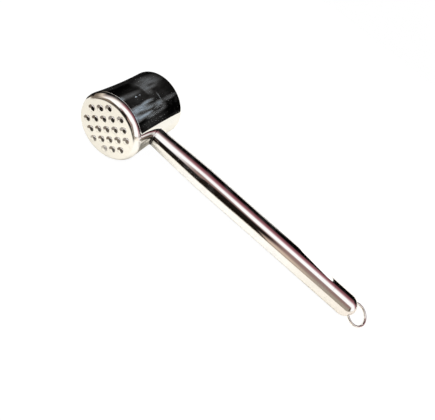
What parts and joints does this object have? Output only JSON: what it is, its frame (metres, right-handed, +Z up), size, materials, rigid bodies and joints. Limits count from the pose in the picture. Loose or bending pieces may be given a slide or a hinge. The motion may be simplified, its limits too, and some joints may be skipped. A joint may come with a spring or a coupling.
{
  "type": "meat mallet",
  "caption": "Polished steel meat mallet: drum head with a studded face and a plain face, tapered round handle, wire hanging ring at its domed end.",
  "frame": {"origin": "middle of the mallet's bounding box, on the worktop that it lies on", "axes": "+X along the handle from the head to the hanging ring, +Y along the drum from the studs to the plain face, +Z up from the worktop; the handle slopes 4.2 degrees down to its domed end"},
  "size_m": [0.265, 0.0614, 0.05],
  "materials": {
    "polished_drum": "mirror-polished stainless steel, with fine handling scratches",
    "polished_plate": "polished stainless steel, a little softer than the drum",
    "polished_tube": "mirror-polished stainless steel tube",
    "polished_cap": "mirror-polished stainless steel",
    "bright_wire": "bright drawn stainless steel wire",
    "plain_steel": "turned plain steel, hidden in the drum",
    "turned_steel": "turned steel, hidden in the handle's neck",
    "zinc_steel": "plated steel, hidden"
  },
  "bodies": {
    "mallet": {"drum_shell": "polished_drum", "stud_plate": "polished_plate", "head_weight": "plain_steel", "tie_pin": "zinc_steel", "neck_plug": "turned_steel", "handle_tube": "polished_tube", "end_cap": "polished_cap"},
    "ring": {"hang_ring": "bright_wire"}
  },
  "joints": [
    {"name": "ring_swing", "type": "hinge", "parent": "mallet", "child": "ring", "pos_m": [0.11622, 0, 0.00869], "axis": [0.0199, 0.9617, 0.2732], "range_deg": [-49, 40]}
  ]
}
